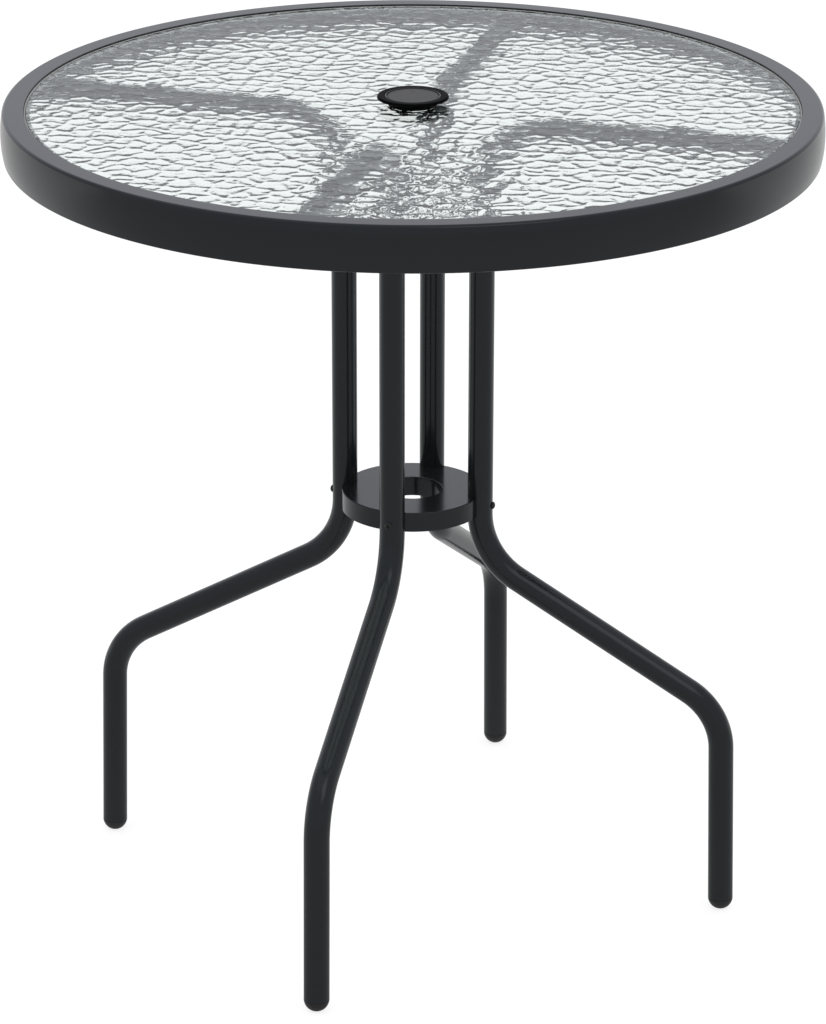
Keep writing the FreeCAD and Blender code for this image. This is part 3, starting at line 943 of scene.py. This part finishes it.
@dataclass
class GlassTop:
    """Tempered glass disc with a pebbled underside, ground edges and the umbrella hole."""

    at: Places
    pattern: PebblePattern = PebblePattern()
    radius: float = 330.3 * MM
    hole_radius: float = 19.5 * MM
    chamfer: float = 0.6 * MM
    relief: float = 0.95 * MM
    spare: float = 6 * MM  # how much wider the sheet is than the glass cut from it
    cells: int = 300
    steps: int = 240

    def relief_nodes(self) -> bpy.types.NodeTree:
        """Geometry nodes that raise the creases into the glass from its lower face.

        Returns:
            The node group.
        """
        tree = bpy.data.node_groups.new("pebble_relief", "GeometryNodeTree")
        for way in ("INPUT", "OUTPUT"):
            tree.interface.new_socket(
                name="Geometry", in_out=way, socket_type="NodeSocketGeometry"
            )
        board = Board(tree)
        sheet = board.node("NodeGroupInput")
        crown = self.pattern.crown(board, board.node("GeometryNodeInputPosition"))
        lift = board.node("ShaderNodeCombineXYZ", {}, {"Z": (1.0 - crown) * self.relief})
        moved = board.node("GeometryNodeSetPosition", {}, {"Geometry": sheet, "Offset": lift})
        board.node("NodeGroupOutput", {}, {"Geometry": moved})
        return tree

    def blank(self) -> Workpiece:
        """Pebbled sheet with walls and a flat upper face, a little larger than the glass.

        Returns:
            The closed sheet.
        """
        at = self.at
        clear_bench()
        bpy.ops.mesh.primitive_grid_add(
            x_subdivisions=self.cells, y_subdivisions=self.cells,
            size=2 * self.radius + self.spare, location=(0, 0, at.glass_bottom),
        )
        sheet = Workpiece("glass_sheet")
        sheet.modify("NODES", node_group=self.relief_nodes())
        sheet.open()
        sheet.select(Pick.EDGES, lambda e: e.is_boundary)
        sheet.extrude(UP * (at.glass_top - at.glass_bottom))
        bpy.ops.transform.resize(value=(1, 1, 0), center_override=(0, 0, at.glass_top))
        bpy.ops.mesh.edge_face_add()
        bpy.ops.mesh.select_all(action="SELECT")
        bpy.ops.mesh.normals_make_consistent(inside=False)
        return sheet

    def build(self) -> None:
        """Trims the pebbled sheet to the ring of the glass."""
        at = self.at
        sheet = self.blank()
        wall = (
            (self.chamfer, at.glass_bottom - OVERCUT),
            (self.chamfer, at.glass_bottom),
            (0.0, at.glass_bottom + self.chamfer),
            (0.0, at.glass_top - self.chamfer),
            (self.chamfer, at.glass_top),
            (self.chamfer, at.glass_top + OVERCUT),
        )
        trim = Workpiece.turned("glass_trim", [
            *(Corner(self.hole_radius + inset, height) for inset, height in wall),
            *(Corner(self.radius - inset, height) for inset, height in reversed(wall)),
        ], self.steps)
        sheet.cut(trim, Keep.INSIDE, Solver.FAST)
        sheet.finish(Body.TABLE, Slot.GLASS, GLASS, ["glass_top"], smooth=40.0)


@dataclass
class Leg:
    """One bent tube from rim to floor, with its domed foot cap."""

    at: Places
    arm_bend: float = 65.0 * MM
    knee_height: float = 315.8 * MM
    knee_bend: float = 68.0 * MM
    slope: float = math.radians(29.4)
    foot_bend: float = 60.0 * MM
    sides: int = 48
    bend_steps: int = 22
    dome_degrees: float = 82.0
    dome_steps: int = 13
    plug_length: float = 18.0 * MM
    plug_wall: float = 2.2 * MM
    plug_gap: float = 0.3 * MM
    plug_chamfer: float = 1.0 * MM
    pocket_floor: float = 1.0 * MM  # below the tube's end
    seam: float = 0.5 * MM

    def path(self) -> list[tuple[Vector, float]]:
        """Corners of the tube's axis on +X.

        Returns:
            Each corner with its bend radius.
        """
        at = self.at
        fall, lean = math.tan(self.slope), math.tan(at.foot_splay)
        drop = self.knee_height - at.foot_height
        run = (at.foot_radius - at.upright_radius - lean * drop) / (1 - lean * fall)
        return [
            (Vector((at.arm_end, 0, at.arm_height)), 0.0),
            (Vector((at.upright_radius, 0, at.arm_height)), self.arm_bend),
            (Vector((at.upright_radius, 0, self.knee_height)), self.knee_bend),
            (Vector((at.upright_radius + run, 0, self.knee_height - fall * run)), self.foot_bend),
            (Vector((at.foot_radius, 0, at.foot_height)), 0.0),
        ]

    def build_tube(self) -> Workpiece:
        """Extrudes and spins a hoop along the path, then gives it the tube's wall.

        Returns:
            The tube of the right side.
        """
        at = self.at
        path = self.path()
        here = path[0][0]
        tube = Workpiece.hoop("leg_tube", at.tube_radius, self.sides, here, math.pi / 2)
        for (before, _), (corner, bend), (after, _) in zip(path, path[1:], path[2:]):
            inward, onward = (corner - before).normalized(), (after - corner).normalized()
            turn = math.atan2(inward.z * onward.x - inward.x * onward.z, inward.dot(onward))
            reach = bend * math.tan(abs(turn) / 2)
            start = corner - inward * reach
            side = Vector((inward.z, 0, -inward.x)) * math.copysign(bend, turn)
            tube.extrude(start - here)
            bpy.ops.mesh.spin(
                steps=self.bend_steps, angle=-turn, center=start + side, axis=(0, 1, 0)
            )
            here = corner + onward * reach
        tube.extrude(path[-1][0] - here)
        tube.merge_doubles()
        bpy.ops.mesh.normals_make_consistent(inside=False)
        tube.thicken(at.tube_wall)
        return tube

    def build_foot(self) -> Workpiece:
        """Domed cap with a seam groove and a plug up the tube, worn flat where it stands.

        Returns:
            The cap of the right side.
        """
        at = self.at
        plug = at.tube_radius - at.tube_wall - self.plug_gap
        angles = (
            math.radians(k * self.dome_degrees / self.dome_steps)
            for k in range(self.dome_steps + 1)
        )
        dome = [Corner(at.tube_radius * math.sin(a), -at.tube_radius * math.cos(a)) for a in angles]
        foot = Workpiece.turned("foot_cap", dome + [
            Corner(at.tube_radius, -2 * self.seam),
            Corner(at.tube_radius, -self.seam),
            Corner(at.tube_radius - self.seam, 0),
            Corner(plug, 0),
            Corner(plug, self.plug_length - self.plug_chamfer),
            Corner(plug - self.plug_chamfer, self.plug_length),
            Corner(plug - self.plug_wall, self.plug_length),
            Corner(plug - self.plug_wall, -self.pocket_floor),
            Corner(0, -self.pocket_floor),
        ], self.sides, closed=False)
        foot.shut()
        foot.thing.rotation_euler.y = -at.foot_splay
        foot.thing.location = (at.foot_radius, 0, at.foot_height)
        foot.settle()
        foot.open()
        bpy.ops.mesh.select_all(action="SELECT")
        bpy.ops.mesh.bisect(plane_co=(0, 0, 0), plane_no=UP, use_fill=True, clear_inner=True)
        return foot

    def build(self) -> None:
        """Models the leg and foot of the right side, which is finished last, and copies them."""
        parts = (
            (self.build_tube(), "leg_tube", Slot.FRAME_PAINT, PAINT, "leg"),
            (self.build_foot(), "foot_dome", Slot.FOOT_PLASTIC, FOOT_PLASTIC, "foot_cap"),
        )
        for side in (Side.BACK, Side.LEFT, Side.FRONT, Side.RIGHT):
            for first, title, slot, look, node in parts:
                name = side.label(title)
                piece = first if side is Side.RIGHT else first.twin(name, side)
                piece.thing.name = name
                piece.finish(Body.TABLE, slot, look, [side.label(node)], smooth=50.0)


@dataclass
class Hub:
    """Hollow pressed ring that the uprights are half sunk in, with its screws."""

    at: Places
    radius: float = 62.5 * MM
    bore: float = 26.3 * MM
    top: float = 372.3 * MM
    height: float = 17.5 * MM
    sheet: float = 1.5 * MM
    edge: float = 1.0 * MM
    notch_gap: float = 0.2 * MM
    notch_sides: int = 64
    steps: int = 160
    screw_head: float = 3.3 * MM
    screw_rim: float = 0.6 * MM
    screw_rim_edge: float = 0.15 * MM
    screw_rise: float = 2.0 * MM
    screw_round: float = 0.5 * MM
    shoulder_share: float = 0.82  # radius of the head's shoulder, of the whole head's
    shoulder_rise: float = 1.35 * MM
    flat_share: float = 0.45  # radius of the head's flat top, of the whole head's
    screw_radius: float = 2.0 * MM
    screw_length: float = 29.8 * MM
    tip_share: float = 0.8  # radius of the screw's tip, of its shank's
    tip_length: float = 0.5 * MM
    screw_sides: int = 32
    socket: float = 2.5 * MM
    socket_depth: float = 1.2 * MM

    def build_ring(self) -> None:
        """Turned block with rounded top edges, notched for the uprights, hollowed from below."""
        bottom = self.top - self.height
        ring = Workpiece.turned("hub_press", [
            Corner(self.bore, bottom),
            Corner(self.radius, bottom),
            Corner(self.radius, self.top, self.edge),
            Corner(self.bore, self.top, self.edge),
        ], self.steps)
        notch = self.at.tube_radius + self.notch_gap
        for side in Side:
            turn = Matrix.Rotation(side.value * math.pi / 2, 3, "Z")
            foot = turn @ Vector((self.at.upright_radius, 0, bottom - OVERCUT))
            head = Vector((foot.x, foot.y, self.top + OVERCUT))
            ring.cut(Workpiece.bar("notch", notch, self.notch_sides, foot, head))
        ring.open()
        ring.select(Pick.FACES, lambda f: f.normal.z < -FACING)
        bpy.ops.mesh.delete(type="FACE")
        ring.thicken(self.sheet)
        ring.finish(Body.TABLE, Slot.FRAME_PAINT, PAINT, ["hub_ring"], smooth=40.0)

    def build_screws(self) -> None:
        """Button-head screws with a hexagon socket, one through each upright."""
        head = self.screw_head
        screw = Workpiece.turned("hub_screw", [
            Corner(0, -self.screw_length),
            Corner(self.screw_radius * self.tip_share, -self.screw_length),
            Corner(self.screw_radius, -self.screw_length + self.tip_length),
            Corner(self.screw_radius, 0),
            Corner(head, 0),
            Corner(head, self.screw_rim, self.screw_rim_edge),
            Corner(head * self.shoulder_share, self.shoulder_rise, self.screw_round),
            Corner(head * self.flat_share, self.screw_rise, self.screw_round),
            Corner(0, self.screw_rise),
        ], self.screw_sides, closed=False)
        floor, mouth = self.screw_rise - self.socket_depth, self.screw_rise + OVERCUT
        corner = self.socket / math.sqrt(3)
        screw.cut(Workpiece.bar("socket", corner, 6, UP * floor, UP * mouth))
        seat = self.at.upright_radius + self.at.tube_radius + self.notch_gap
        screw.thing.rotation_euler.y = math.pi / 2
        screw.thing.location = (seat, 0, self.top - self.height / 2)
        screw.settle()
        others = (Side.BACK, Side.LEFT, Side.FRONT)
        screw.join([screw.twin("hub_screw_copy", side) for side in others])
        screw.thing.name = "hub_button_screws"
        screw.finish(Body.TABLE, Slot.BLACK_SCREW, BLACK_SCREW, ["hub_screws"])

    def build(self) -> None:
        """Builds the ring and its screws."""
        self.build_ring()
        self.build_screws()


@dataclass
class UmbrellaFitting:
    """Collar with a wide lip in the hole of the glass, and the cap that lifts out of it."""

    at: Places
    lip: float = 30.8 * MM
    neck: float = 21.0 * MM
    lip_thickness: float = 4.4 * MM
    round_above: float = 1.7 * MM
    round_below: float = 0.5 * MM
    round_edge: float = 0.8 * MM
    fine_edge: float = 0.2 * MM
    undercut: float = 2.0 * MM
    undercut_start: float = 1.5 * MM
    bore: float = 17.1 * MM
    sleeve: float = 18.9 * MM
    sleeve_drop: float = 2.5 * MM
    bead: float = 0.6 * MM
    bead_height: float = 1.4 * MM
    bead_gap: float = 0.2 * MM
    seat_gap: float = 0.2 * MM
    cap_radius: float = 24.0 * MM
    cap_thickness: float = 2.4 * MM
    cap_edge: float = 0.7 * MM
    cap_edge_below: float = 0.3 * MM
    cap_rim: float = 1.6 * MM
    cap_dish: float = 0.6 * MM
    groove: tuple[Corner, ...] = (  # from the edge of the dish at the ring's top
        Corner(0.5 * MM, 0.0, 0.3 * MM),
        Corner(0.3 * MM, -1.4 * MM, 0.1 * MM),
        Corner(-0.5 * MM, -1.4 * MM, 0.2 * MM),
    )
    groove_width: float = 0.7 * MM
    plug_length: float = 12.0 * MM
    plug_wall: float = 2.0 * MM
    plug_fillet: float = 0.4 * MM
    gap: float = 0.3 * MM
    steps: int = 128

    def build_collar(self) -> None:
        """Collar with a neck on the glass, a snap bead under it and a recess for the cap."""
        at = self.at
        seat = at.ring_top - self.cap_thickness - self.seat_gap
        low = at.glass_bottom - self.sleeve_drop
        lip_bottom = at.ring_top - self.lip_thickness
        bead_top = at.glass_bottom - self.bead_gap
        bead = self.sleeve + 2 * self.bead
        recess = self.cap_radius + self.gap
        Workpiece.turned("umbrella_collar", [
            Corner(self.bore, low),
            Corner(self.sleeve, low, self.round_edge),
            Corner(self.sleeve, bead_top - self.bead_height),
            Corner(bead, bead_top - self.bead, self.fine_edge),
            Corner(bead, bead_top),
            Corner(self.sleeve, bead_top),
            Corner(self.sleeve, at.glass_top),
            Corner(self.neck, at.glass_top),
            Corner(self.neck, lip_bottom, self.round_edge),
            Corner(self.neck + self.undercut_start, lip_bottom, self.round_edge),
            Corner(self.lip, lip_bottom + self.undercut, self.round_below),
            Corner(self.lip, at.ring_top, self.round_above),
            Corner(recess, at.ring_top, self.round_edge / 2),
            Corner(recess, seat, self.fine_edge),
            Corner(self.bore, seat, self.round_edge),
        ], self.steps).finish(Body.TABLE, Slot.RING_PLASTIC, RING_PLASTIC, ["umbrella_ring"])

    def build_cap(self) -> None:
        """Dished disc with a groove round its dish and a hollow plug."""
        at = self.at
        seat = at.ring_top - self.cap_thickness
        plug = self.bore - self.gap
        edge = self.cap_radius - self.cap_rim
        dish = at.ring_top - self.cap_dish
        Workpiece.turned("umbrella_cap_disc", [
            Corner(0, seat),
            Corner(plug - self.plug_wall, seat, self.plug_fillet),
            Corner(plug - self.plug_wall, seat - self.plug_length),
            Corner(plug, seat - self.plug_length, self.cap_edge),
            Corner(plug, seat),
            Corner(self.cap_radius, seat, self.cap_edge_below),
            Corner(self.cap_radius, at.ring_top, self.cap_edge),
            *(Corner(edge + c.radius, at.ring_top + c.height, c.rounding) for c in self.groove),
            Corner(edge - self.groove_width, dish, self.cap_edge_below),
            Corner(0, dish),
        ], self.steps, closed=False).finish(
            Body.CAP, Slot.CAP_PLASTIC, CAP_PLASTIC, ["umbrella_cap"]
        )

    def build(self) -> None:
        """Builds the collar and its cap."""
        self.build_collar()
        self.build_cap()


@dataclass
class Hardware:
    """Plain pieces that keep their CAD mesh and get a finish."""

    looks: Mapping[str, Finish] = field(default_factory=lambda: {
        "hub_base_plate": PAINT,
        "hub_nuts": ZINC,
        "arm_bolts": ZINC,
        "arm_nuts": ZINC,
        "arm_washers": ZINC,
        "arm_plug": FOOT_PLASTIC,
        "rim_bracket": PAINT,
        "glass_pad": RUBBER,
    })

    def build(self) -> None:
        """Gives each CAD node that stays its finish."""
        for name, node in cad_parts.items():
            look = next((v for k, v in self.looks.items() if name.startswith(k)), None)
            if look is None or node.hide_render:
                continue
            for place in node.material_slots:
                place.material = look.material()
            if not node.material_slots:
                node.data.materials.append(look.material())
            LOG.info("%s keeps its CAD mesh, finished with %s", name, look.title)


# Studio


@dataclass
class Studio:
    """White floor and backdrop, soft lamps and the camera of the photograph."""

    eye: Triple = (0.9832, -3.3507, 1.7161)
    heading: Triple = (-0.28155, 0.95955, 0.0)
    pitch: float = 0.37329
    roll: float = 0.00136
    lens: float = 148.61
    sensor: float = 36.0
    shift: tuple[float, float] = (0.0006, 0.00053)
    sight: float = 200.0
    ambient: float = 0.85
    wall_in_gloss: tuple[float, float] = (0.50, 0.88)  # towards the camera and away from it
    wall_span: tuple[float, float] = (0.4, 1.05)
    wall_through_glass: float = 0.70
    gloss_tint: Colour = (0.945, 0.965, 1.035, 1.0)
    floor_size: float = 60.0
    floor_white: float = 0.80
    floor_diffuse: float = 0.30
    floor_in_gloss: tuple[float, float] = (0.46, 0.82)  # in front of the table and beyond it
    floor_span: tuple[float, float] = (-0.35, 0.95)
    lamp_aim: Triple = (0.0, 0.0, 0.4)
    lamps: tuple[Lamp, ...] = (
        Lamp("overhead", Vector((0, 0, 4.0)), 6.0, 16),
        Lamp("front_right", Vector((1.7, -1.9, 3.0)), 1.8, 6),
    )

    @staticmethod
    def in_gloss(path: Signal) -> Signal:
        """1 for rays that a surface mirrors, and 0 for those that also went through glass."""
        return path.out("Is Glossy Ray") * (1.0 - path.out("Is Transmission Ray"))

    def beyond(self, board: Board, coordinates: str, span: tuple[float, float]) -> Signal:
        """Rises from 0 to 1 along the camera's heading.

        Args:
            board: nodes of the world or the floor.
            coordinates: texture coordinates that give the direction or place.
            span: where along the heading the rise starts and ends.

        Returns:
            The rise.
        """
        place = board.node("ShaderNodeTexCoord").out(coordinates)
        along = board.vector("DOT_PRODUCT", place, self.heading).out("Value")
        return board.eased(along, *span)

    def build_world(self) -> None:
        """White seen directly, greyer in gloss and glass, and plain light for the rest."""
        world = bpy.data.worlds.new("white_room")
        board = Board.cleared(world)
        path = board.node("ShaderNodeLightPath")
        through = path.out("Is Transmission Ray")
        seen = path.out("Is Camera Ray") + path.out("Is Glossy Ray") + through
        in_gloss = self.in_gloss(path)
        near, far = self.wall_in_gloss
        beyond = self.beyond(board, "Generated", self.wall_span)
        strength = self.ambient + (1.0 - self.ambient) * seen.clamped()
        strength = strength + in_gloss * (near - 1.0 + (far - near) * beyond)
        strength = strength + through * (self.wall_through_glass - 1.0)
        tint = board.mixed(in_gloss, grey(1.0), self.gloss_tint)
        light = board.node("ShaderNodeBackground", {}, {"Color": tint, "Strength": strength})
        board.node("ShaderNodeOutputWorld", {}, {"Surface": light})
        bpy.context.scene.world = world

    def floor_material(self) -> bpy.types.Material:
        """Pale floor that clips to white in the open and keeps soft shadows.

        Returns:
            The material.
        """
        made = bpy.data.materials.new("white_floor")
        board = Board.cleared(made)
        in_gloss = self.in_gloss(board.node("ShaderNodeLightPath"))
        near, far = self.floor_in_gloss
        beyond = self.beyond(board, "Object", self.floor_span)
        change = near - self.floor_diffuse - self.floor_white + (far - near) * beyond
        glow = self.floor_white + change * in_gloss
        own = board.node("ShaderNodeEmission", {}, {"Color": grey(1.0), "Strength": glow})
        lit = board.node("ShaderNodeBsdfDiffuse", {}, {"Color": grey(self.floor_diffuse)})
        both = board.node("ShaderNodeAddShader", {}, {0: own, 1: lit})
        board.node("ShaderNodeOutputMaterial", {}, {"Surface": both})
        return made

    def build_floor(self) -> None:
        """Floor from well in front of the camera to far behind the table."""
        clear_bench()
        bpy.ops.mesh.primitive_plane_add(size=self.floor_size, location=(0, 0, 0))
        floor = Workpiece("floor")
        floor.shut()
        floor.thing.data.materials.append(self.floor_material())

    def build_lamps(self) -> None:
        """One broad lamp overhead, and a small one in front of the table, high on its right."""
        for name, place, size, watts in self.lamps:
            clear_bench()
            aim = (Vector(self.lamp_aim) - place).to_track_quat("-Z", "Y").to_euler()
            bpy.ops.object.light_add(type="AREA", location=place, rotation=aim)
            lamp = bpy.context.object
            lamp.name = name
            lamp.data.shape = "SQUARE"
            lamp.data.size = size
            lamp.data.energy = watts

    def build_camera(self) -> None:
        """Camera at the photograph's place, looking at its angle."""
        level = Vector(self.heading).normalized()
        ahead = level * math.cos(self.pitch) - UP * math.sin(self.pitch)
        right = ahead.cross(UP).normalized()
        axes = Matrix((right, right.cross(ahead), -ahead)).transposed()
        turn = axes @ Matrix.Rotation(self.roll, 3, "Z")
        bpy.ops.object.camera_add(location=self.eye, rotation=turn.to_euler())
        camera = bpy.context.object
        camera.data.sensor_width = self.sensor
        camera.data.lens = self.lens
        camera.data.shift_x, camera.data.shift_y = self.shift
        camera.data.clip_end = self.sight
        bpy.context.scene.camera = camera

    def build(self) -> None:
        """Sets the stage."""
        self.build_world()
        self.build_floor()
        self.build_lamps()
        self.build_camera()
        bpy.context.scene.view_settings.view_transform = "Standard"


def main() -> None:
    """Builds the sub-assemblies in order."""
    logging.basicConfig(level=logging.INFO, format="%(name)s %(message)s")
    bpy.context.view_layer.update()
    at = Places()
    table = (Rim(at), GlassTop(at), Leg(at), Hub(at), UmbrellaFitting(at), Hardware())
    for part in (*table, Studio()):
        LOG.info("building %s", type(part).__name__)
        part.build()
    clear_bench()


if __name__ == "__main__":
    main()
